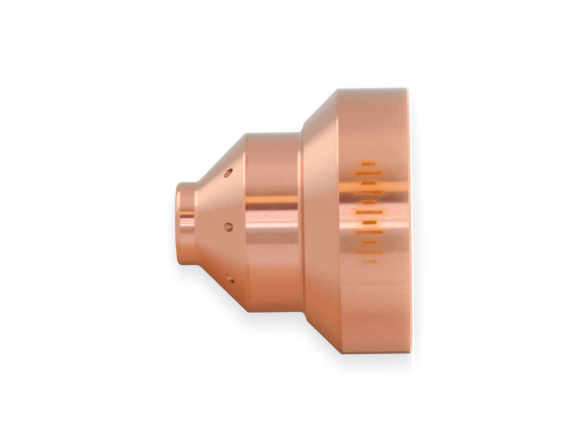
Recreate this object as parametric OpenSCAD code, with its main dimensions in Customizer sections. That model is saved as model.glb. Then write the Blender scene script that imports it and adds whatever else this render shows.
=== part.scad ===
// Shield for a machine plasma torch, turned from one bar of copper.
// It stands on its open rim: the rim is at z = 0 and the orifice points up, along +Z.

/* [Outside] */
// Height from the rim to the tip face
total_h = 26.5; // [24:0.5:32]
// Diameter of the large cylinder at the rim
body_d = 30; // [28.5:0.1:34]
// Height at which the large cylinder turns into the rear cone
body_h = 8.05; // [7.6:0.05:9.5]
// Diameter of the middle cylinder
mid_d = 20.3; // [19.4:0.1:22]
// Width of the turned shoulder between the middle cylinder and the rear cone
shoulder_w = 1.05; // [0.8:0.05:2]
// Rise of the shoulder from the rear cone to the middle cylinder
shoulder_rise = 0.38; // [0.1:0.01:0.6]
// Diameter of the tip
tip_d = 9.4; // [7:0.1:11]
// Height of the straight part of the tip
tip_h = 2.54; // [1.6:0.02:4]
// Angle between each cone's side and the axis
cone_angle = 45; // [42:1:50]
// Width of the flat land round the orifice, on the tip face
face_land = 0.2; // [0.1:0.05:0.4]
// Fall of the tip face from the land to its edge
face_fall = 0.16; // [0.05:0.01:0.25]

/* [Edges] */
// Round at the foot of the rim
rim_round = 0.25; // [0.1:0.05:0.6]
// Round between the large cylinder and the rear cone
body_round = 0.45; // [0.1:0.05:1]
// Round at the top edge of the rear cone
shoulder_round = 0.4; // [0.1:0.05:0.6]
// Fillet between the shoulder and the middle cylinder
shoulder_fillet = 0.5; // [0.2:0.05:0.7]
// Round between the middle cylinder and the front cone
mid_round = 0.5; // [0.1:0.05:1]
// Fillet at the foot of the tip
tip_fillet = 0.8; // [0.2:0.1:1.2]
// Round at the front edge of the tip
tip_round = 0.6; // [0.1:0.05:0.8]

/* [Mouth] */
// Wall between the large cylinder and the crests of the thread
rim_wall = 2.4; // [2:0.1:3]
// Depth of the plain lead-in, measured out from the crests
lead_depth = 0.9; // [0.7:0.05:1.1]
// Height of the plain lead-in
lead_h = 0.8; // [0.4:0.1:1.5]
// Chamfer on the inner edge of the rim
lead_chamfer = 0.25; // [0.1:0.05:0.3]
// Depth of the relief groove behind the thread, measured out from the crests
relief_depth = 0.8; // [0.7:0.05:1]
// Width of the relief groove
relief_w = 1; // [0.8:0.1:1.6]
// Fillet in the corners of the relief groove
relief_fillet = 0.3; // [0.1:0.05:0.35]
// How far the bore that centres the cap lies inside the crests
pilot_step = 0.15; // [0.05:0.05:0.3]
// Length of the bore that centres the cap
pilot_h = 1; // [0.6:0.1:1.5]
// Height of the seat above the rim plane
seat_z = 7.6; // [7.2:0.1:8]
// Width of the seat
seat_w = 1.05; // [0.8:0.05:1.4]
// Length of the straight step behind the seat
step_h = 0.6; // [0.3:0.1:1.2]

/* [Chamber] */
// Wall round the chamber, behind the middle cylinder
mid_wall = 1.1; // [0.9:0.05:1.2]
// Wall of the front cone, measured square to its side
nose_wall = 1.35; // [1.1:0.05:2]
// Fillet where the chamber meets its cones
chamber_fillet = 0.25; // [0.1:0.05:0.4]
// Diameter of the orifice
orifice_d = 4.8; // [3:0.1:5.4]
// Chamfer at the mouth of the orifice
orifice_chamfer = 0.3; // [0.1:0.05:0.5]

/* [Vents] */
// Number of vent holes, drilled through the front cone along the axis
vent_n = 8; // [4:1:12]
// Diameter of one vent hole
vent_d = 1; // [0.6:0.05:1.2]
// Diameter of the circle through the centres of the vent holes
vent_ring_d = 16.7; // [14.5:0.1:16.9]

/* [Hidden] */
$fn = 96;
cut = 1;
overshoot = 1.25;
arc_slack = 0.0002;
body_r = body_d / 2;
mid_r = mid_d / 2;
tip_r = tip_d / 2;
shoulder_r = mid_r + shoulder_w;
orifice_r = orifice_d / 2;
thread_r = body_r - rim_wall;
lead_r = thread_r + lead_depth;
relief_r = thread_r + relief_depth;
pilot_r = thread_r - pilot_step;
seat_r = pilot_r - seat_w;
chamber_r = mid_r - mid_wall;
vent_ring_r = vent_ring_d / 2;
// Heights at which the cones end
shoulder_z = body_h + (body_r - shoulder_r) / tan(cone_angle);
tip_z = total_h - tip_h;
mid_z = tip_z - (mid_r - tip_r) / tan(cone_angle);
// Heights along the inside
pilot_z = seat_z - pilot_h;
groove_z = pilot_z - relief_w;
step_z = seat_z + step_h;
chamber_z = step_z + (seat_r - chamber_r) / tan(cone_angle);
chamber_top = inner_cone_z(chamber_r);
throat_z = inner_cone_z(orifice_r);

// Height of the front cone's outer and inner side at a radius
function outer_cone_z(r) = mid_z + (mid_r - r) / tan(cone_angle);
function inner_cone_z(r) = outer_cone_z(r) - nose_wall / sin(cone_angle);

function unit(v) = v / norm(v);
function half_angle(p, a, b) = acos(unit(a - p) * unit(b - p)) / 2;

// Centre of the arc that rounds the corner p, between the directions of a and b
function arc_centre(p, a, b, r) =
    p + unit(unit(a - p) + unit(b - p)) * r / sin(half_angle(p, a, b));

// What an arc of radius r takes from, or adds to, the corner p, where a and b are the far
// ends of its sides, anticlockwise as seen from the arc's centre. It reaches past both sides
// and the arc is a hair too large, so that every line is crossed and none only touched.
module corner(p, a, b, r) {
    run = r / tan(half_angle(p, a, b));
    c = arc_centre(p, a, b, r);
    difference() {
        polygon([
            for (q = [c, p + unit(a - p) * run, p, p + unit(b - p) * run])
                c + (q - c) * overshoot
        ]);
        translate(c) circle(r + arc_slack);
    }
}

rim = [body_r, 0];
body_edge = [body_r, body_h];
shoulder_edge = [shoulder_r, shoulder_z];
shoulder_root = [mid_r, shoulder_z + shoulder_rise];
mid_edge = [mid_r, mid_z];
tip_root = [tip_r, tip_z];
tip_edge = [tip_r, total_h - face_fall];
face_edge = [orifice_r + orifice_chamfer + face_land, total_h];

// Half section of the solid outside, before the bore is cut
module outside_section() {
    difference() {
        union() {
            polygon([
                [0, 0], rim, body_edge, shoulder_edge, shoulder_root,
                mid_edge, tip_root, tip_edge, face_edge, [0, total_h]
            ]);
            corner(shoulder_root, mid_edge, shoulder_edge, shoulder_fillet);
            corner(tip_root, tip_edge, mid_edge, tip_fillet);
        }
        corner(rim, [0, 0], body_edge, rim_round);
        corner(body_edge, rim, shoulder_edge, body_round);
        corner(shoulder_edge, body_edge, shoulder_root, shoulder_round);
        corner(mid_edge, shoulder_root, tip_root, mid_round);
        corner(tip_edge, tip_root, face_edge, tip_round);
    }
}

thread_low = [thread_r, lead_h];
thread_high = [thread_r, groove_z];
groove_low = [relief_r, groove_z];
groove_high = [relief_r, pilot_z];
pilot_low = [pilot_r, pilot_z];
pilot_high = [pilot_r, seat_z];
step_low = [seat_r, seat_z];
step_high = [seat_r, step_z];
chamber_low = [chamber_r, chamber_z];
chamber_high = [chamber_r, chamber_top];
throat = [orifice_r, throat_z];
outlet = [orifice_r, total_h - orifice_chamfer];

// Half section of everything that is bored out
module inside_section() {
    difference() {
        union() {
            polygon([
                [0, -cut], [lead_r + lead_chamfer + cut, -cut], [lead_r, lead_chamfer],
                [lead_r, lead_h], thread_low, thread_high, groove_low, groove_high,
                pilot_low, pilot_high, step_low, step_high, chamber_low, chamber_high,
                throat, outlet, outlet + [orifice_chamfer + cut, orifice_chamfer + cut],
                [0, total_h + cut]
            ]);
            corner(chamber_low, chamber_high, step_high, chamber_fillet);
        }
        corner(groove_low, thread_high, groove_high, relief_fillet);
        corner(groove_high, groove_low, pilot_low, relief_fillet);
        corner(chamber_high, chamber_low, throat, chamber_fillet);
    }
}

// One vent hole. It starts in the chamber, behind the front cone, and ends past its side.
module vent() {
    foot_z = inner_cone_z(vent_ring_r + vent_d);
    translate([vent_ring_r, 0, foot_z])
        cylinder(h = outer_cone_z(vent_ring_r - vent_d) - foot_z, d = vent_d);
}

module shield_body() {
    color([0.87, 0.58, 0.47])
    difference() {
        rotate_extrude() outside_section();
        rotate_extrude() inside_section();
        for (i = [0 : vent_n - 1]) rotate([0, 0, i * 360 / vent_n]) vent();
    }
}

shield_body();
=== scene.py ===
from math import cos, pi, radians, sin, tan

import bmesh
import bpy
from bpy.props import FloatProperty, FloatVectorProperty, IntProperty, PointerProperty
from mathutils import Matrix, Vector


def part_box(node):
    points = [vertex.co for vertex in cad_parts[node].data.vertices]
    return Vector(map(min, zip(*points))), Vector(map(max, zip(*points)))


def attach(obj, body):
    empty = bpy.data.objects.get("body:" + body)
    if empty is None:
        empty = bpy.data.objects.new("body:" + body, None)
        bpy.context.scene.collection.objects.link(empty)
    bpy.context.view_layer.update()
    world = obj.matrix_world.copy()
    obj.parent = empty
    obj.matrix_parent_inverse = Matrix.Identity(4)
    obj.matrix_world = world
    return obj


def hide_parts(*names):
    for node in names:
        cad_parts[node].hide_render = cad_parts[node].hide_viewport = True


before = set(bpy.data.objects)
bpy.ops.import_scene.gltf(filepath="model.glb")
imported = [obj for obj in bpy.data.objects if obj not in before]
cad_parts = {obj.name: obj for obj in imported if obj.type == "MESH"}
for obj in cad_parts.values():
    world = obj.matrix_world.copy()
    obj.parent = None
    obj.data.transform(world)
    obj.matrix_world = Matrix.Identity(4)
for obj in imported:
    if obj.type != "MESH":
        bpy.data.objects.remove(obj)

bl_info = {
    "name": "Plasma Torch Shield",
    "version": (1, 0, 0),
    "blender": (4, 5, 0),
    "location": "View3D > Sidebar > Torch Shield",
    "description": "Turns a copper shield for a plasma torch and stands it in a small studio",
    "category": "Object",
}

MM = 0.001
BODY_NODE = "shield_body"
CAD_HIGH = Vector(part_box(BODY_NODE)[1])

# Both cones stand at this angle to the axis, so each rises by as much as it narrows
CONE_ANGLE = pi / 4

# How finely the turned shape is meshed. A straight longer than SUPPORTED_FROM gets an extra
# point near each end, so that the rounds beside it shade well
TURN_STEPS = 320
ROUND_STEPS = 6
SUPPORT_GAP = 0.05 * MM
SUPPORTED_FROM = 4 * SUPPORT_GAP
LONGEST_STEP = 1.4 * MM
THREAD_STEPS = 160
VENT_STEPS = 40
SHARP_ANGLE = radians(28)
BLANK_WELD = 0.001 * MM
CUT_WELD = 0.0005 * MM

# Proportions of a 60 degree thread, as shares of its pitch, and how far before the pilot bore
# the tool stops, as a share of half its mouth
THREAD_DEPTH = 0.5413
THREAD_MOUTH = 3 / 4
THREAD_ROOT = 1 / 8
THREAD_RUNOUT = 1.15


def size(name, description, default_mm, **options):
    """Give a length property whose default is written in millimetres."""
    return FloatProperty(
        name=name, description=description, default=default_mm * MM,
        subtype='DISTANCE', unit='LENGTH', precision=5, **options)


def colour(name, description, default):
    """Give a colour property."""
    return FloatVectorProperty(
        name=name, description=description, default=default,
        subtype='COLOR', size=3, min=0, max=1)


def angle(name, description, default_degrees):
    """Give an angle property whose default is written in degrees."""
    return FloatProperty(
        name=name, description=description, default=radians(default_degrees),
        subtype='ANGLE', unit='ROTATION')


class ShieldOutside(bpy.types.PropertyGroup):
    """Sizes of the turned outside"""
    body_r: size("Large cylinder", "Radius of the large cylinder at the rim", 15)
    body_h: size("Large cylinder height", "Height at which the rear cone starts", 8.05)
    mid_r: size("Middle cylinder", "Radius of the middle cylinder", 10.15)
    shoulder_w: size("Shoulder", "Width of the shoulder behind the middle cylinder", 1.05)
    shoulder_rise: size("Shoulder rise", "Rise of the shoulder to the middle cylinder", 0.38)
    tip_r: size("Tip", "Radius of the tip", 4.7)
    tip_h: size("Tip height", "Height of the straight part of the tip", 2.54)
    face_fall: size("Face fall", "Fall of the tip face from the orifice to its edge", 0.16)
    face_land: size("Face land", "Width of the flat land round the orifice", 0.2)
    rim_round: size("Rim round", "Round at the foot of the rim", 0.25)
    body_round: size("Body round", "Round between large cylinder and rear cone", 0.45)
    shoulder_round: size("Shoulder round", "Round at the top of the rear cone", 0.4)
    shoulder_fillet: size("Shoulder fillet", "Fillet at the foot of the middle cylinder", 0.5)
    mid_round: size("Middle round", "Round between middle cylinder and front cone", 0.5)
    tip_fillet: size("Tip fillet", "Fillet at the foot of the tip", 0.8)
    tip_round: size("Tip round", "Round at the front edge of the tip", 0.6)


class ShieldInside(bpy.types.PropertyGroup):
    """Sizes of the bored inside, the thread and the drilled vents"""
    lead_r: size("Lead-in", "Radius of the plain lead-in at the rim", 13.5)
    lead_h: size("Lead-in height", "Height at which the thread starts", 0.8)
    lead_chamfer: size("Lead-in chamfer", "Chamfer on the inner edge of the rim", 0.25)
    thread_r: size("Thread crests", "Radius across the crests of the thread", 12.6)
    pitch: size("Thread pitch", "Rise of the thread in one turn", 1.25)
    groove_r: size("Relief groove", "Radius of the relief groove behind the thread", 13.4)
    groove_z: size("Relief groove start", "Height at which the relief groove starts", 5.6)
    groove_fillet: size("Relief fillet", "Fillet in the corners of the relief groove", 0.3)
    pilot_r: size("Pilot bore", "Radius of the bore that centres the cap", 12.45)
    pilot_z: size("Pilot bore start", "Height at which the pilot bore starts", 6.6)
    seat_r: size("Seat bore", "Radius inside the seat", 11.4)
    seat_z: size("Seat height", "Height of the seat above the rim", 7.6)
    step_h: size("Seat step", "Length of the straight step behind the seat", 0.6)
    chamber_r: size("Chamber", "Radius of the chamber", 9.05)
    chamber_fillet: size("Chamber fillet", "Fillet where the chamber meets its cones", 0.25)
    nose_wall: size("Nose wall", "Wall of the front cone, square to its side", 1.35)
    orifice_r: size("Orifice", "Radius of the orifice", 2.4)
    orifice_chamfer: size("Orifice chamfer", "Chamfer at the mouth of the orifice", 0.3)
    vent_r: size("Vent hole", "Radius of one vent hole", 0.5)
    vent_ring_r: size("Vent ring", "Radius of the circle of vent holes", 8.35)
    vent_count: IntProperty(
        name="Vent holes", description="Number of vent holes", default=8, min=1, max=24)


class ShieldFinish(bpy.types.PropertyGroup):
    """Colours and wear of the copper"""
    copper: colour("Copper", "Colour of the clean turned copper", (0.93, 0.56, 0.42))
    tarnish: colour("Tarnish", "Colour of the light tarnish", (0.80, 0.40, 0.22))
    mark: colour("Heat mark", "Colour at the heart of a heat mark", (0.72, 0.18, 0.015))
    halo: colour("Heat halo", "Colour of the halo round a heat mark", (0.93, 0.40, 0.13))
    # This colour paints shade, darker and more orange, on the front cone's side towards -X, and
    # also tints the stain along the edge before that cone
    heat: colour(
        "Heat tint", "Colour that heat has given one side of the nose", (0.80, 0.34, 0.15))
    # Colour of the soot and painted shade in the vent holes, and of the pits
    bore: colour("Drilled wall", "Colour inside the vent holes", (0.68, 0.34, 0.21))
    # This colour paints shade on the shoulder's steep face
    line: colour("Shoulder line", "Colour of the dull line at the shoulder", (0.62, 0.30, 0.17))
    roughness: FloatProperty(
        name="Roughness", description="Roughness of the turned surface",
        default=0.13, min=0, max=1, subtype='FACTOR')
    feed: size("Feed", "Distance between two turning marks", 0.12)
    mark_z: size("Mark height", "Height of the middle of the heat marks", 4.62)
    mark_length: size("Mark length", "Length of a long heat mark", 2.8)
    mark_width: size("Mark width", "Width of one heat mark", 0.26)
    halo_width: size("Halo width", "How far a heat mark's halo reaches", 1.1)
    mark_turn: angle("Mark turn", "Angle of the middle heat mark from -Y", 6.7)
    mark_step: angle("Mark step", "Angle between two heat marks", 4.2)
    mark_count: IntProperty(
        name="Heat marks", description="Number of heat marks, an odd number",
        default=11, min=1, max=59)


class ShieldStudio(bpy.types.PropertyGroup):
    """The camera and the light"""
    camera_turn: angle("Camera turn", "Camera's angle round the axis from -Y", 3.1)
    camera_roll: angle("Camera roll", "How far the shield leans in the picture", 0.82)
    camera_away: size("Camera distance", "Distance from the axis to the camera", 565)
    camera_z: size("Camera height", "Height of the camera above the rim plane", 2.6)
    camera_lens: FloatProperty(
        name="Camera lens", description="Focal length in millimetres", default=306.75, min=1)
    aim_z: size("Aim height", "Height of the point at the picture's centre", 13.17)
    aim_side: size("Aim offset", "How far that point lies beside the axis", 0.183)
    stage_z: size("Stage middle", "Height of the middle of the backdrop", 13)
    backdrop_away: size("Backdrop distance", "Distance from the axis to the backdrop", 16)
    backdrop_reach: size("Backdrop reach", "Half the width of the backdrop", 60)
    floor_r: size("Floor", "Radius of the round floor", 50)
    softbox_away: size("Softbox distance", "Distance from the axis to the softbox", 400)
    softbox_width: size("Softbox width", "Width of the softbox", 115)
    softbox_height: size("Softbox height", "Height of the softbox", 58)
    softbox_power: FloatProperty(
        name="Softbox power", description="Power of the softbox in watts", default=1.85, min=0)


# The turned body

def shoulder_corner(outside):
    """Give the radius and the height at which the rear cone meets the shoulder."""
    radius = outside.mid_r + outside.shoulder_w
    return radius, outside.body_h + outside.body_r - radius


def front_cone_ends(outside):
    """Give the heights at which the front cone starts and ends."""
    tip_z = CAD_HIGH.z - outside.tip_h
    return tip_z - (outside.mid_r - outside.tip_r), tip_z


def outside_corners(outside):
    """List the corners of the outside, from the rim to the tip, each with its round."""
    shoulder_r, shoulder_z = shoulder_corner(outside)
    mid_z, tip_z = front_cone_ends(outside)
    return [
        (outside.body_r, 0, outside.rim_round),
        (outside.body_r, outside.body_h, outside.body_round),
        (shoulder_r, shoulder_z, outside.shoulder_round),
        (outside.mid_r, shoulder_z + outside.shoulder_rise, outside.shoulder_fillet),
        (outside.mid_r, mid_z, outside.mid_round),
        (outside.tip_r, tip_z, outside.tip_fillet),
        (outside.tip_r, CAD_HIGH.z - outside.face_fall, outside.tip_round),
    ]


def inner_cone_z(outside, inside, radius):
    """Give the height of the front cone's inner side at a radius."""
    outer_z = CAD_HIGH.z - outside.tip_h + outside.tip_r - radius
    return outer_z - inside.nose_wall / sin(CONE_ANGLE)


def inside_corners(outside, inside):
    """List the corners of the inside, from the orifice to the rim, each with its fillet."""
    top = CAD_HIGH.z
    mouth_r = inside.orifice_r + inside.orifice_chamfer
    step_z = inside.seat_z + inside.step_h
    return [
        (mouth_r + outside.face_land, top, 0),
        (mouth_r, top, 0),
        (inside.orifice_r, top - inside.orifice_chamfer, 0),
        (inside.orifice_r, inner_cone_z(outside, inside, inside.orifice_r), 0),
        (inside.chamber_r, inner_cone_z(outside, inside, inside.chamber_r),
         inside.chamber_fillet),
        (inside.chamber_r, step_z + inside.seat_r - inside.chamber_r, inside.chamber_fillet),
        (inside.seat_r, step_z, 0),
        (inside.seat_r, inside.seat_z, 0),
        (inside.pilot_r, inside.seat_z, 0),
        (inside.pilot_r, inside.pilot_z, 0),
        (inside.groove_r, inside.pilot_z, inside.groove_fillet),
        (inside.groove_r, inside.groove_z, inside.groove_fillet),
        (inside.thread_r, inside.groove_z, 0),
        (inside.thread_r, inside.lead_h, 0),
        (inside.lead_r, inside.lead_h, 0),
        (inside.lead_r, inside.lead_chamfer, 0),
        (inside.lead_r + inside.lead_chamfer, 0, 0),
    ]


def draw_section(corners):
    """Draw a closed half section, round its corners and divide its long straights."""
    section = bmesh.new()
    points = [section.verts.new((radius, 0, height)) for radius, height, _ in corners]
    for here, following in zip(points, points[1:] + points[:1]):
        section.edges.new((here, following))
    for point, (_, _, round_size) in zip(points, corners):
        if round_size:
            one, other = (edge.other_vert(point).co - point.co for edge in point.link_edges)
            bmesh.ops.bevel(
                section, geom=[point], offset=round_size / tan(one.angle(other) / 2),
                offset_type='OFFSET', affect='VERTICES', segments=ROUND_STEPS,
                profile=0.5, material=-1)
    for straight in [edge for edge in section.edges if edge.calc_length() > SUPPORTED_FROM]:
        for end in list(straight.verts):
            bmesh.utils.edge_split(straight, end, SUPPORT_GAP / straight.calc_length())
    for straight in list(section.edges):
        cuts = int(straight.calc_length() / LONGEST_STEP)
        if cuts:
            bmesh.ops.subdivide_edges(section, edges=[straight], cuts=cuts)
    return section


def finished_object(shape, name):
    """Put a bmesh into the scene as an object of its own."""
    mesh = bpy.data.meshes.new(name)
    shape.to_mesh(mesh)
    shape.free()
    piece = bpy.data.objects.new(name, mesh)
    bpy.context.scene.collection.objects.link(piece)
    return piece


def turn_blank(corners):
    """Spin a half section once round the axis."""
    blank = draw_section(corners)
    bmesh.ops.spin(
        blank, geom=blank.verts[:] + blank.edges[:], cent=(0, 0, 0), axis=(0, 0, 1),
        angle=2 * pi, steps=TURN_STEPS, use_merge=True)
    bmesh.ops.remove_doubles(blank, verts=blank.verts[:], dist=BLANK_WELD)
    bmesh.ops.recalc_face_normals(blank, faces=blank.faces[:])
    return blank


def threading_tool(inside):
    """Sweep the point of a 60 degree threading tool along its helix."""
    pitch = inside.pitch
    depth = THREAD_DEPTH * pitch
    mouth_half, root_half = THREAD_MOUTH * pitch / 2, THREAD_ROOT * pitch / 2
    start_z = inside.lead_h - mouth_half
    end_z = inside.pilot_z - THREAD_RUNOUT * mouth_half
    profile = [
        (inside.thread_r - depth / 2, -mouth_half), (inside.thread_r, -mouth_half),
        (inside.thread_r + depth, -root_half), (inside.thread_r + depth, root_half),
        (inside.thread_r, mouth_half), (inside.thread_r - depth / 2, mouth_half),
    ]
    turns = (end_z - start_z) / pitch
    steps = round(turns * THREAD_STEPS)
    tool = bmesh.new()
    face = tool.faces.new([tool.verts.new((r, 0, start_z + z)) for r, z in profile])
    bmesh.ops.spin(
        tool, geom=[face], cent=(0, 0, 0), axis=(0, 0, 1), dvec=(0, 0, pitch / THREAD_STEPS),
        angle=2 * pi * steps / THREAD_STEPS, steps=steps)
    bmesh.ops.recalc_face_normals(tool, faces=tool.faces[:])
    return tool


def vent_drills(outside, inside):
    """Set one drill on each vent hole, all parallel to the axis."""
    foot_z = inner_cone_z(outside, inside, inside.vent_ring_r + 2 * inside.vent_r)
    length = 2 * inside.nose_wall / sin(CONE_ANGLE)
    drills = bmesh.new()
    for index in range(inside.vent_count):
        turn = Matrix.Rotation(2 * pi * index / inside.vent_count, 4, 'Z')
        place = Matrix.Translation((inside.vent_ring_r, 0, foot_z + length / 2))
        bmesh.ops.create_cone(
            drills, cap_ends=True, segments=VENT_STEPS, radius1=inside.vent_r,
            radius2=inside.vent_r, depth=length, matrix=turn @ place)
    return drills


def cut_away(piece, tool_shape, name):
    """Cut a tool's shape out of a piece, then remove the tool."""
    tool = finished_object(tool_shape, name)
    cut = piece.modifiers.new(name, 'BOOLEAN')
    cut.operation = 'DIFFERENCE'
    cut.solver = 'EXACT'
    cut.object = tool
    uncut = piece.data
    graph = bpy.context.evaluated_depsgraph_get()
    piece.data = bpy.data.meshes.new_from_object(piece.evaluated_get(graph))
    piece.modifiers.clear()
    tool_mesh = tool.data
    bpy.data.objects.remove(tool)
    for spent in (tool_mesh, uncut):
        bpy.data.meshes.remove(spent)


class SHIELD_OT_turn_body(bpy.types.Operator):
    """Turn, bore, thread and drill the copper body"""
    bl_idname = "shield.turn_body"
    bl_label = "Turn the Body"

    def execute(self, context):
        outside, inside = context.scene.shield_outside, context.scene.shield_inside
        blank = turn_blank(outside_corners(outside) + inside_corners(outside, inside))
        body = finished_object(blank, "turned_body")
        cut_away(body, threading_tool(inside), "threading_tool")
        cut_away(body, vent_drills(outside, inside), "vent_drills")
        tidy = bmesh.new()
        tidy.from_mesh(body.data)
        bmesh.ops.remove_doubles(tidy, verts=tidy.verts[:], dist=CUT_WELD)
        tidy.to_mesh(body.data)
        open_edges = sum(not edge.is_manifold for edge in tidy.edges)
        tidy.free()
        if open_edges:
            raise RuntimeError(f"the body has {open_edges} open edges")
        body.data.shade_smooth()
        body.data.set_sharp_from_angle(angle=SHARP_ANGLE)
        body.data.materials.clear()
        body.data.materials.append(turned_copper(
            context.scene.shield_finish, outside, inside))
        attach(body, "root")
        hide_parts(BODY_NODE)
        return {'FINISHED'}


# The copper

# Patches of wear: scale per metre, detail, the span of noise over which they come, and their
# strength before and after it
TARNISH = (420, 6, 0.50, 0.80, 0.0, 0.08)
SPECKLE = (2600, 3, 0.35, 0.75, 0.0, 0.18)
STAIN_PATCHES = (420, 5, 0.40, 0.66, 0.0, 1.0)
MARK_PATCHES = (700, 3, 0.35, 0.55, 0.75, 1.0)

# Pits: the spacing and reach of the coarse and the fine ones, the reach being a share of the
# spacing, the heart of a pit as a share of its reach, and the share of places without one
COARSE_PITS = (2.6 * MM, 0.05)
FINE_PITS = (0.75 * MM, 0.15)
PIT_HEART = 0.4
PITS_LEFT_OUT = 0.55

# Turning marks: depth, strength, how much they change the roughness, and how much a step
# across the axis counts beside one along it
TURNING_DEPTH = 0.004 * MM
TURNING_STRENGTH = 0.35
TURNING_ROUGHNESS = 0.05
TURNING_SLANT = 0.83

# The large cylinder's tarnish: how far inside its radius it starts and is full, its strength,
# and the depth within which a point counts as lying on that cylinder
BODY_DULL_START, BODY_DULL_FULL = 0.4 * MM, 0.05 * MM
BODY_DULLING = 0.26
BODY_SKIN = 1 * MM

# Heat marks: how far a heart fades, the strength of a halo, and of the faintest mark
HEART_FADE = 0.14 * MM
HALO_STRENGTH = 0.9
FAINTEST_MARK = 0.45

# How far past a vent's wall its soot and painted shade are full, and how far they reach
VENT_EDGE_FULL, VENT_EDGE_END = 0.01 * MM, 0.08 * MM

# Heights from the shoulder's corner at which the painted shade on the shoulder's steep face
# starts, is full and starts to fade
LINE_START, LINE_FULL, LINE_FADE = -0.02 * MM, 0.08 * MM, 0.16 * MM

# The painted shade, darker and more orange, on the front cone's side towards -X: how softly it
# starts at the middle cylinder, how far before the tip it fades and past the tip's foot it ends,
# and the angles from -Y between which it comes and goes
TINT_SOFT = 0.3 * MM
TINT_TIP_FADE, TINT_TIP_END = 0.6 * MM, 0.1 * MM
TINT_TURNS = [radians(turn) for turn in (-150, -95, -55, -26)]

# The edge stain: how far below the front cone it lies, and half its width, full and in all
STAIN_BELOW = 0.3 * MM
STAIN_FULL, STAIN_END = 0.04 * MM, 0.3 * MM


class NodeBench:
    """Short names for the nodes that a material or the world is wired from."""

    def __init__(self, tree):
        self.tree = tree
        tree.nodes.clear()

    def add(self, kind, **settings):
        node = self.tree.nodes.new(kind)
        for key, value in settings.items():
            setattr(node, key, value)
        return node

    def wire(self, value, socket):
        if isinstance(value, bpy.types.NodeSocket):
            self.tree.links.new(value, socket)
        else:
            socket.default_value = value

    def math(self, operation, *values):
        node = self.add('ShaderNodeMath', operation=operation)
        for value, socket in zip(values, node.inputs):
            self.wire(value, socket)
        return node.outputs[0]

    def split(self, vector):
        """Give a vector's three axes."""
        node = self.add('ShaderNodeSeparateXYZ')
        self.wire(vector, node.inputs[0])
        return node.outputs

    def length(self, first, second):
        """Give the length of the hypotenuse over two sides."""
        return self.math('SQRT', self.math('ADD', self.math('MULTIPLY', first, first),
                                           self.math('MULTIPLY', second, second)))

    def turn(self, x, y):
        """Give the angle round the axis, from -Y."""
        return self.math('ARCTAN2', x, self.math('MULTIPLY', y, -1))

    def ease(self, value, low, high, start=0.0, end=1.0):
        """Pass softly from start to end while a value goes from low to high."""
        node = self.add('ShaderNodeMapRange', interpolation_type='SMOOTHSTEP')
        for entry, socket in zip((value, low, high, start, end), node.inputs):
            self.wire(entry, socket)
        return node.outputs[0]

    def window(self, value, start, full, fade, end):
        """Rise softly from start to full, and fall again from fade to end."""
        return self.math('MULTIPLY', self.ease(value, start, full),
                         self.ease(value, fade, end, 1.0, 0.0))

    def noise(self, coordinate, scale, detail, one_way=False):
        node = self.add('ShaderNodeTexNoise', noise_dimensions='1D' if one_way else '3D')
        self.wire(coordinate, node.inputs['W' if one_way else 'Vector'])
        node.inputs['Scale'].default_value = scale
        node.inputs['Detail'].default_value = detail
        return node.outputs[0]

    def patches(self, coordinate, pattern):
        """Wire patches of wear from one of the patterns above."""
        scale, detail, low, high, start, end = pattern
        return self.ease(self.noise(coordinate, scale, detail), low, high, start, end)

    def blend(self, share, first, second):
        """Blend two colours, by the sockets that the Mix node keeps for colours."""
        node = self.add('ShaderNodeMix', data_type='RGBA')
        self.wire(share, node.inputs['Factor'])
        for value, socket in ((first, node.inputs[6]), (second, node.inputs[7])):
            if not isinstance(value, bpy.types.NodeSocket):
                value = (*value, 1)
            self.wire(value, socket)
        return node.outputs[2]


def new_material(name):
    """Give an empty material and the bench that it is wired on."""
    material = bpy.data.materials.new(name)
    material.use_nodes = True
    return material, NodeBench(material.node_tree)


def heat_marks(bench, outside, finish, place, x, y, z, radius):
    """Wire a plain scale of long and short heat marks, as their hearts and their halos."""
    half_count = finish.mark_count / 2
    steps = bench.math('DIVIDE', bench.math('SUBTRACT', bench.turn(x, y), finish.mark_turn),
                       finish.mark_step)
    nearest = bench.math('ROUND', steps)
    sideways = bench.math('MULTIPLY', bench.math('ABSOLUTE', bench.math(
        'SUBTRACT', steps, nearest)), finish.mark_step * outside.body_r)
    # Every second mark is half as long
    half_length = bench.math('MULTIPLY_ADD', bench.math('PINGPONG', nearest, 1),
                             -finish.mark_length / 4, finish.mark_length / 2)
    lengthways = bench.math('SUBTRACT', bench.math('ABSOLUTE', bench.math(
        'SUBTRACT', z, finish.mark_z)), half_length)
    away = bench.length(
        bench.math('MAXIMUM', bench.math('SUBTRACT', sideways, finish.mark_width / 2), 0),
        bench.math('MAXIMUM', lengthways, 0))
    # The marks are patchy, and fainter towards one end of the scale
    strength = bench.math(
        'MULTIPLY', bench.patches(place, MARK_PATCHES),
        bench.ease(steps, -half_count, 1 - half_count / 2, FAINTEST_MARK, 1.0))
    marked = bench.math('MULTIPLY',
                        bench.math('LESS_THAN', bench.math('ABSOLUTE', steps), half_count),
                        bench.math('GREATER_THAN', radius, outside.body_r - BODY_SKIN))
    shown = bench.math('MULTIPLY', marked, strength)
    heart = bench.ease(away, 0, HEART_FADE, 1.0, 0.0)
    halo = bench.ease(away, 0, finish.halo_width, HALO_STRENGTH, 0.0)
    return bench.math('MULTIPLY', heart, shown), bench.math('MULTIPLY', halo, shown)


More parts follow.
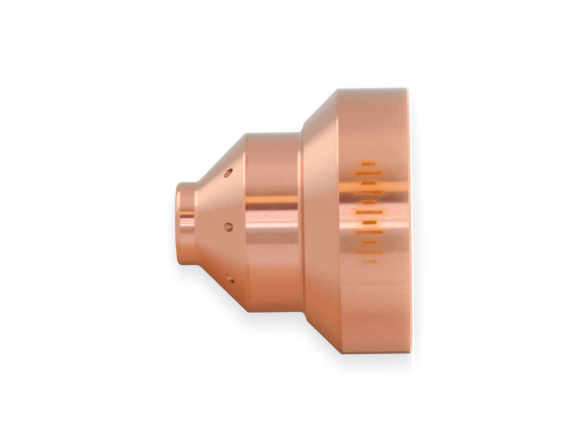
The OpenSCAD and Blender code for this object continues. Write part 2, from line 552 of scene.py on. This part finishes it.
def vent_soot_and_shade(bench, inside, x, y, radius):
    """Wire the share of a point on a vent hole's wall or on its edge, which soot and painted
    shade darken.
    """
    turn = bench.math('ARCTAN2', y, x)
    step = 2 * pi / inside.vent_count
    nearest = bench.math('MULTIPLY', bench.math('ROUND', bench.math('DIVIDE', turn, step)), step)
    off = bench.math('SUBTRACT', turn, nearest)
    outward = bench.math('SUBTRACT', bench.math('MULTIPLY', radius, bench.math('COSINE', off)),
                         inside.vent_ring_r)
    across = bench.math('MULTIPLY', radius, bench.math('SINE', off))
    return bench.ease(bench.length(outward, across), inside.vent_r + VENT_EDGE_FULL,
                      inside.vent_r + VENT_EDGE_END, 1.0, 0.0)


def pits(bench, place, spacing, reach):
    """Wire tiny pits, scattered over the surface."""
    cells = bench.add('ShaderNodeTexVoronoi')
    bench.wire(place, cells.inputs['Vector'])
    cells.inputs['Scale'].default_value = 1 / spacing
    spot = bench.ease(cells.outputs['Distance'], PIT_HEART * reach, reach, 1.0, 0.0)
    pick = bench.add('ShaderNodeSeparateColor')
    bench.wire(cells.outputs['Color'], pick.inputs[0])
    return bench.math('MULTIPLY', spot,
                      bench.math('GREATER_THAN', pick.outputs[0], PITS_LEFT_OUT))


def painted_step_shade(bench, outside, radius, z):
    """Wire where the shoulder's steep face gets painted shade, darker and rougher."""
    _, low = shoulder_corner(outside)
    line = bench.window(z, low + LINE_START, low + LINE_FULL, low + LINE_FADE,
                        low + outside.shoulder_rise)
    return bench.math('MULTIPLY', line, bench.math('GREATER_THAN', radius, outside.mid_r))


def painted_nose_shade(bench, outside, x, y, z):
    """Wire the painted shade, darker and more orange, on the front cone's side towards -X."""
    mid_z, tip_z = front_cone_ends(outside)
    along = bench.window(z, mid_z - TINT_SOFT, mid_z + TINT_SOFT,
                         tip_z - TINT_TIP_FADE, tip_z + TINT_TIP_END)
    return bench.math('MULTIPLY', along, bench.window(bench.turn(x, y), *TINT_TURNS))


def edge_stain(bench, outside, place, z):
    """Wire the broken line of stain along the edge before the front cone."""
    mid_z, _ = front_cone_ends(outside)
    away = bench.math('ABSOLUTE', bench.math('SUBTRACT', z, mid_z - STAIN_BELOW))
    line = bench.ease(away, STAIN_FULL, STAIN_END, 1.0, 0.0)
    return bench.math('MULTIPLY', line, bench.patches(place, STAIN_PATCHES))


def turned_copper(finish, outside, inside):
    """Wire the satin copper: turning marks, light tarnish, pits and heat marks, with painted
    shade on the front cone's side towards -X, on the shoulder's steep face and, with soot, in
    the vent holes.
    """
    material, bench = new_material("turned copper")
    place = bench.add('ShaderNodeTexCoord').outputs['Object']
    x, y, z = bench.split(place)
    radius = bench.length(x, y)

    # Turning marks run round the axis, so they change along the section only
    along = bench.math('MULTIPLY_ADD', radius, TURNING_SLANT, z)
    turned = bench.noise(along, 1 / finish.feed, 3, one_way=True)
    bump = bench.add('ShaderNodeBump')
    bump.inputs['Strength'].default_value = TURNING_STRENGTH
    bump.inputs['Distance'].default_value = TURNING_DEPTH
    bench.wire(turned, bump.inputs['Height'])

    tarnish = bench.patches(place, TARNISH)
    dulled = bench.math('ADD', tarnish, bench.patches(place, SPECKLE))
    dulled = bench.math('ADD', dulled, bench.ease(
        radius, outside.body_r - BODY_DULL_START, outside.body_r - BODY_DULL_FULL,
        0.0, BODY_DULLING))
    heart, halo = heat_marks(bench, outside, finish, place, x, y, z, radius)
    # What covers the clean copper, from the bottom up: the place, how much it covers there,
    # its colour, and how much it adds to the roughness
    layers = (
        (dulled, 1.0, finish.tarnish, 0.0),
        # Painted shade on the front cone's side towards -X
        (painted_nose_shade(bench, outside, x, y, z), 1.0, finish.heat, 0.0),
        (edge_stain(bench, outside, place, z), 0.75, finish.heat, 0.0),
        (pits(bench, place, *COARSE_PITS), 0.7, finish.bore, 0.0),
        (pits(bench, place, *FINE_PITS), 0.5, finish.bore, 0.0),
        (halo, 1.0, finish.halo, 0.08),
        (heart, 1.0, finish.mark, 0.30),
        # Painted shade on the shoulder's steep face, which is also rougher there
        (painted_step_shade(bench, outside, radius, z), 0.5, finish.line, 0.25),
        # Soot and painted shade inside the vent holes and round their edges
        (vent_soot_and_shade(bench, inside, x, y, radius), 1.0, finish.bore, 0.06),
    )
    tone = tuple(finish.copper)
    roughness = bench.math('MULTIPLY_ADD', turned, TURNING_ROUGHNESS, bench.math(
        'ADD', tarnish, finish.roughness - TURNING_ROUGHNESS / 2))
    for share, cover, tint, dulling in layers:
        tone = bench.blend(bench.math('MULTIPLY', share, cover), tone, tuple(tint))
        if dulling:
            roughness = bench.math('MULTIPLY_ADD', share, dulling, roughness)

    shader = bench.add('ShaderNodeBsdfPrincipled')
    shader.inputs['Metallic'].default_value = 1
    shader.inputs['Anisotropic'].default_value = 0.8
    shader.inputs['Anisotropic Rotation'].default_value = 0.25
    bench.wire(tone, shader.inputs['Base Color'])
    bench.wire(roughness, shader.inputs['Roughness'])
    bench.wire(bump.outputs[0], shader.inputs['Normal'])
    tangent = bench.add('ShaderNodeTangent', direction_type='RADIAL', axis='Z')
    bench.wire(tangent.outputs[0], shader.inputs['Tangent'])
    out = bench.add('ShaderNodeOutputMaterial')
    bench.wire(shader.outputs[0], out.inputs['Surface'])
    return material


# The studio

# The light is laid out by the face that throws it at the camera: by the angle in degrees at
# which that face is turned from the camera, round the axis, and by its rise, which is 1 for a
# face that looks straight up. Tints of that light:
PAPER = (0.80, 0.92, 1.0)
WHITE = (1.0, 1.0, 1.0)
GLARE = (1.0, 1.08, 1.2)
ROSE = (1.0, 0.90, 1.03)
BLUSH = (1.0, 0.85, 0.82)
SAND = (1.0, 0.81, 0.72)
CLAY = (1.0, 0.70, 0.55)
EMBER = (1.0, 0.60, 0.42)
FLAME = (1.0, 0.52, 0.30)
RUST = (1.0, 0.44, 0.22)
WINE = (1.0, 0.41, 0.31)
AMBER = (1.0, 0.68, 0.34)

# The papers of the stage: tone, own glow, and the share of their reach at which they start to
# fade
FLOOR_PAPER = ((0.72, 0.77, 0.80), 0.66, 0.48)
BACKDROP_PAPER = ((0.33, 0.36, 0.38), 0.52, 0.75)

# How far the softbox stands off the camera's line of sight, up in the picture and along the
# axis towards the rim, as shares of its distance
SOFTBOX_UP, SOFTBOX_BACK = 0.065, 0.018

# What a diffuse ray gets from all round
FILL_GREY = (0.5, 0.5, 0.5)

# The rise up to which a face counts as upright, and from which it counts as sloping
UPRIGHT_RISE, SLOPING_RISE = 0.05, 0.22

# Cards round the upright faces: their angle, tint and level
CARDS = [
    (-90, RUST, 0.30), (-80, RUST, 0.33), (-74, RUST, 0.39), (-66, RUST, 0.46),
    (-60, FLAME, 0.53), (-54, FLAME, 0.59), (-48, FLAME, 0.63), (-42, FLAME, 0.67),
    (-36, EMBER, 0.69), (-30, CLAY, 0.72), (-25, BLUSH, 0.79), (-20, BLUSH, 0.76),
    (30, BLUSH, 0.76), (36, BLUSH, 0.81), (39, BLUSH, 0.77), (43, BLUSH, 0.68),
    (60, BLUSH, 0.62), (73, PAPER, 0.62), (80, PAPER, 0.70), (90, PAPER, 1.0),
]

# Tubes and gaps in the middle of those cards
TUBES = [
    (-20, BLUSH, 0.76), (-14, BLUSH, 0.72), (-13.5, CLAY, 0.55), (-6.5, SAND, 0.52),
    (-5.8, ROSE, 0.60), (-3.2, ROSE, 0.66), (-2.7, GLARE, 1.42), (-0.8, GLARE, 1.40),
    (-0.45, ROSE, 0.86), (0.55, ROSE, 0.86), (0.9, WHITE, 1.16), (2.1, WHITE, 1.12),
    (3, ROSE, 1.03), (4, ROSE, 1.11), (7.3, ROSE, 1.05), (7.6, WINE, 0.24),
    (10, WINE, 0.29), (12.4, RUST, 0.40), (12.9, AMBER, 1.02), (16.5, AMBER, 1.02),
    (17.0, EMBER, 0.44), (21, CLAY, 0.62), (26, BLUSH, 0.74), (30, BLUSH, 0.76),
]

# Cloth over the sloping faces
CEILING = [
    (-90, RUST, 0.28), (-78, RUST, 0.32), (-72, RUST, 0.41), (-66, RUST, 0.48),
    (-60, FLAME, 0.52), (-48, FLAME, 0.61), (-42, FLAME, 0.63), (-36, EMBER, 0.61),
    (-30, CLAY, 0.65), (-22, SAND, 0.71), (12, SAND, 0.69), (18, WHITE, 0.76),
    (24, WHITE, 0.89), (30, WHITE, 1.02), (36, WHITE, 1.07), (43, WHITE, 1.04),
    (47, WHITE, 0.86), (52, WHITE, 0.58), (62, WHITE, 0.57), (72, PAPER, 0.70),
    (90, PAPER, 0.72),
]

# The pale card beside the large cylinder, in millimetres: its X and its span of height. Then
# the tones along it: their Y, tint and level
CARD_X = -30
CARD_SPAN = (-4, 9)
CARD_TONES = [
    (-31, (1.0, 0.86, 0.83), 0.80), (-19, (1.0, 0.77, 0.69), 0.72),
    (-12, (1.0, 0.63, 0.48), 0.65), (-6, (1.0, 0.66, 0.53), 0.66),
    (3, (1.0, 0.67, 0.53), 0.66), (9, (1.0, 0.63, 0.47), 0.61), (18, (1.0, 0.62, 0.46), 0.55),
    (26, (1.0, 0.62, 0.46), 0.54),
]

# Lamps and flags for the rounded edges: the span of their angle, the span of the face's rise,
# tint, level, and how softly the two spans end. A span past 90 degrees or past a rise of 1 is
# open at that end
LAMPS = [
    ((8, 22), (0.16, 0.52), SAND, 0.82, 4, 0.06),
    ((25, 50), (0.22, 0.58), WHITE, 1.34, 4, 0.05),
    ((15, 62), (0.82, 2), PAPER, 0.76, 4, 0.04),
    ((-9, 36), (-0.62, -0.10), WHITE, 1.12, 3, 0.05),
    ((-99, -12), (-0.66, -0.12), CLAY, 0.36, 3, 0.05),
    ((-99, 99), (-2, -0.68), RUST, 0.30, 3, 0.04),
]


def fill_ramp(bench, stops, value):
    """Wire a colour ramp over a value, from the first of its stops to the last."""
    low, high = stops[0][0], stops[-1][0]
    share = bench.math('DIVIDE', bench.math('SUBTRACT', value, low), high - low)
    ramp = bench.add('ShaderNodeValToRGB')
    elements = ramp.color_ramp.elements
    for stand, _, _ in stops[1:-1]:
        elements.new((stand - low) / (high - low))
    for element, (stand, tint, level) in zip(elements, stops):
        element.position = (stand - low) / (high - low)
        element.color = (*(part * level for part in tint), 1)
    bench.wire(share, ramp.inputs[0])
    return ramp.outputs[0]


def light_world(studio):
    """Wire the studio's light by direction, and plain white where the camera looks."""
    world = bpy.data.worlds.new("studio")
    world.use_nodes = True
    bench = NodeBench(world.node_tree)
    facing = bench.add('ShaderNodeVectorRotate', rotation_type='Z_AXIS')
    facing.inputs['Angle'].default_value = -studio.camera_turn
    bench.wire(bench.add('ShaderNodeTexCoord').outputs['Generated'], facing.inputs['Vector'])
    # Halfway between a direction and the camera's side lies the face that mirrors it there
    halfway = bench.add('ShaderNodeVectorMath', operation='ADD')
    bench.wire(facing.outputs[0], halfway.inputs[0])
    halfway.inputs[1].default_value = (0, -1, 0)
    face = bench.add('ShaderNodeVectorMath', operation='NORMALIZE')
    bench.wire(halfway.outputs[0], face.inputs[0])
    x, y, rise = bench.split(face.outputs[0])
    turn = bench.math('DEGREES', bench.turn(x, y))

    low, high = TUBES[0][0], TUBES[-1][0]
    among_tubes = bench.math('LESS_THAN', bench.math(
        'ABSOLUTE', bench.math('SUBTRACT', turn, (low + high) / 2)), (high - low) / 2)
    around = bench.blend(among_tubes, fill_ramp(bench, CARDS, turn),
                         fill_ramp(bench, TUBES, turn))
    sloping = bench.ease(bench.math('ABSOLUTE', rise), UPRIGHT_RISE, SLOPING_RISE)
    seen = bench.blend(sloping, around, fill_ramp(bench, CEILING, turn))
    for turns, rises, tint, level, soft_turn, soft_rise in LAMPS:
        spans = [bench.window(value, start - soft, start + soft, end - soft, end + soft)
                 for value, (start, end), soft in ((turn, turns, soft_turn),
                                                   (rise, rises, soft_rise))]
        seen = bench.blend(bench.math('MULTIPLY', *spans), seen,
                           tuple(part * level for part in tint))

    path = bench.add('ShaderNodeLightPath').outputs
    seen = bench.blend(path['Is Diffuse Ray'], seen, FILL_GREY)
    seen = bench.blend(bench.math('MAXIMUM', path['Is Camera Ray'],
                                  path['Is Transmission Ray']), seen, WHITE)
    light = bench.add('ShaderNodeBackground')
    bench.wire(seen, light.inputs['Color'])
    bench.wire(light.outputs[0], bench.add('ShaderNodeOutputWorld').inputs[0])
    bpy.context.scene.world = world


def stage_paper(name, reach, tone, glow, fade_share):
    """Wire white paper that takes a shadow, fades outwards and is clear from behind."""
    material, bench = new_material(name)
    paper = bench.add('ShaderNodeBsdfDiffuse')
    paper.inputs['Color'].default_value = (*tone, 1)
    # Its own glow, which metal and glass mirror as well, makes the paper white
    path = bench.add('ShaderNodeLightPath').outputs
    seen = bench.math('MAXIMUM', path['Is Camera Ray'], bench.math(
        'MAXIMUM', path['Is Glossy Ray'], path['Is Transmission Ray']))
    shine = bench.add('ShaderNodeEmission')
    bench.wire(bench.math('MULTIPLY', seen, glow), shine.inputs['Strength'])
    both = bench.add('ShaderNodeAddShader')
    bench.wire(paper.outputs[0], both.inputs[0])
    bench.wire(shine.outputs[0], both.inputs[1])
    clear = bench.add('ShaderNodeBsdfTransparent')
    sided = bench.add('ShaderNodeMixShader')
    away = bench.add('ShaderNodeVectorMath', operation='LENGTH')
    bench.wire(bench.add('ShaderNodeTexCoord').outputs['Object'], away.inputs[0])
    faded = bench.ease(away.outputs['Value'], fade_share * reach, reach)
    behind = bench.add('ShaderNodeNewGeometry').outputs['Backfacing']
    bench.wire(bench.math('MAXIMUM', faded, behind), sided.inputs[0])
    bench.wire(both.outputs[0], sided.inputs[1])
    bench.wire(clear.outputs[0], sided.inputs[2])
    bench.wire(sided.outputs[0], bench.add('ShaderNodeOutputMaterial').inputs['Surface'])
    return material


def camera_axes(studio):
    """Give the directions from the axis to the camera, and up in the picture."""
    towards = Vector((sin(studio.camera_turn), -cos(studio.camera_turn), 0))
    up = Vector((cos(studio.camera_turn), sin(studio.camera_turn), 0))
    return towards, up


def place_camera(studio):
    """Set the camera beside the shield, turned so that the tip points left."""
    towards, up = camera_axes(studio)
    place = towards * studio.camera_away + Vector((0, 0, studio.camera_z))
    aim = up * studio.aim_side + Vector((0, 0, studio.aim_z))
    back = (place - aim).normalized()
    upright = (cos(studio.camera_roll) * up
               - sin(studio.camera_roll) * Vector((0, 0, 1))).normalized()
    right = upright.cross(back).normalized()
    lens = bpy.data.cameras.new("camera")
    lens.sensor_width = 36
    lens.lens = studio.camera_lens
    lens.clip_start = 10 * MM
    camera = bpy.data.objects.new("camera", lens)
    camera.matrix_world = Matrix.Translation(place) @ Matrix(
        (right, back.cross(right), back)).transposed().to_4x4()
    bpy.context.scene.collection.objects.link(camera)
    bpy.context.scene.camera = camera


def set_apart(piece, *rays):
    """Make a piece part of the stage, and hide it from some kinds of rays."""
    for ray in rays:
        setattr(piece, "visible_" + ray, False)


def lay_floor(studio):
    """Lay the round floor under the rim."""
    disc = bmesh.new()
    bmesh.ops.create_circle(disc, cap_ends=True, segments=96, radius=studio.floor_r)
    floor = finished_object(disc, "floor")
    floor.data.materials.append(stage_paper("floor paper", studio.floor_r, *FLOOR_PAPER))
    set_apart(floor, "diffuse", "shadow")


def hang_backdrop(studio):
    """Hang the backdrop close behind the shield, where it takes the soft shadow."""
    towards, up = camera_axes(studio)
    axes = Matrix((up, Vector((0, 0, 1)), towards)).transposed().to_4x4()
    middle = Vector((0, 0, studio.stage_z)) - towards * studio.backdrop_away
    sheet = bmesh.new()
    bmesh.ops.create_grid(sheet, x_segments=1, y_segments=1, size=studio.backdrop_reach,
                          matrix=Matrix.Translation(middle) @ axes)
    backdrop = finished_object(sheet, "backdrop")
    backdrop.data.materials.append(stage_paper(
        "backdrop paper", studio.backdrop_reach, *BACKDROP_PAPER))
    # The copper's sides mirror the cards of the light, and not the sheet behind the shield
    set_apart(backdrop, "glossy", "diffuse", "shadow")


def stand_card():
    """Stand a pale card beside the large cylinder, for its gloss only."""
    start, end = CARD_TONES[0][0], CARD_TONES[-1][0]
    low, high = CARD_SPAN
    strip = bmesh.new()
    strip.faces.new([strip.verts.new((CARD_X * MM, y * MM, z * MM))
                     for y, z in ((start, low), (end, low), (end, high), (start, high))])
    card = finished_object(strip, "pale card")
    material, bench = new_material("pale card")
    _, along, _ = bench.split(bench.add('ShaderNodeTexCoord').outputs['Object'])
    shine = bench.add('ShaderNodeEmission')
    bench.wire(fill_ramp(bench, CARD_TONES, bench.math('DIVIDE', along, MM)),
               shine.inputs['Color'])
    bench.wire(shine.outputs[0], bench.add('ShaderNodeOutputMaterial').inputs['Surface'])
    card.data.materials.append(material)
    set_apart(card, "camera", "diffuse", "shadow")


def hang_softbox(studio):
    """Hang the softbox beside the camera, a little off its line of sight."""
    towards, up = camera_axes(studio)
    softbox = bpy.data.lights.new("softbox", 'AREA')
    softbox.shape = 'ELLIPSE'
    softbox.size = studio.softbox_width
    softbox.size_y = studio.softbox_height
    softbox.energy = studio.softbox_power
    lamp = bpy.data.objects.new("softbox", softbox)
    from_side = (towards + SOFTBOX_UP * up - Vector((0, 0, SOFTBOX_BACK))).normalized()
    middle = from_side * studio.softbox_away + Vector((0, 0, studio.stage_z))
    lamp.matrix_world = Matrix.Translation(middle) @ (
        from_side.to_track_quat('Z', 'Y').to_matrix().to_4x4())
    lamp.visible_glossy = False
    bpy.context.scene.collection.objects.link(lamp)


class SHIELD_OT_set_stage(bpy.types.Operator):
    """Set the floor, the backdrop, the light and the camera"""
    bl_idname = "shield.set_stage"
    bl_label = "Set the Stage"

    def execute(self, context):
        studio = context.scene.shield_studio
        context.scene.view_settings.view_transform = 'Standard'
        light_world(studio)
        place_camera(studio)
        lay_floor(studio)
        hang_backdrop(studio)
        stand_card()
        hang_softbox(studio)
        return {'FINISHED'}


class SHIELD_PT_sidebar(bpy.types.Panel):
    """Lists the steps and sizes of the shield"""
    bl_idname = "SHIELD_PT_sidebar"
    bl_label = "Torch Shield"
    bl_space_type = 'VIEW_3D'
    bl_region_type = 'UI'
    bl_category = "Torch Shield"

    def draw(self, context):
        for step in OPERATORS:
            self.layout.operator(step.bl_idname)
        for group in GROUPS:
            box = self.layout.box()
            box.label(text=GROUPS[group].__doc__)
            settings = getattr(context.scene, group)
            for name in GROUPS[group].__annotations__:
                box.prop(settings, name)


GROUPS = {
    "shield_outside": ShieldOutside,
    "shield_inside": ShieldInside,
    "shield_finish": ShieldFinish,
    "shield_studio": ShieldStudio,
}
OPERATORS = (SHIELD_OT_turn_body, SHIELD_OT_set_stage)
CLASSES = (*GROUPS.values(), *OPERATORS, SHIELD_PT_sidebar)


def register():
    for item in CLASSES:
        bpy.utils.register_class(item)
    for name, group in GROUPS.items():
        setattr(bpy.types.Scene, name, PointerProperty(type=group))


def unregister():
    for name in GROUPS:
        delattr(bpy.types.Scene, name)
    for item in reversed(CLASSES):
        bpy.utils.unregister_class(item)


def main():
    """Make the piece and the stage."""
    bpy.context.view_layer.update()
    register()
    bpy.ops.shield.turn_body()
    bpy.ops.shield.set_stage()


if __name__ == "__main__":
    main()
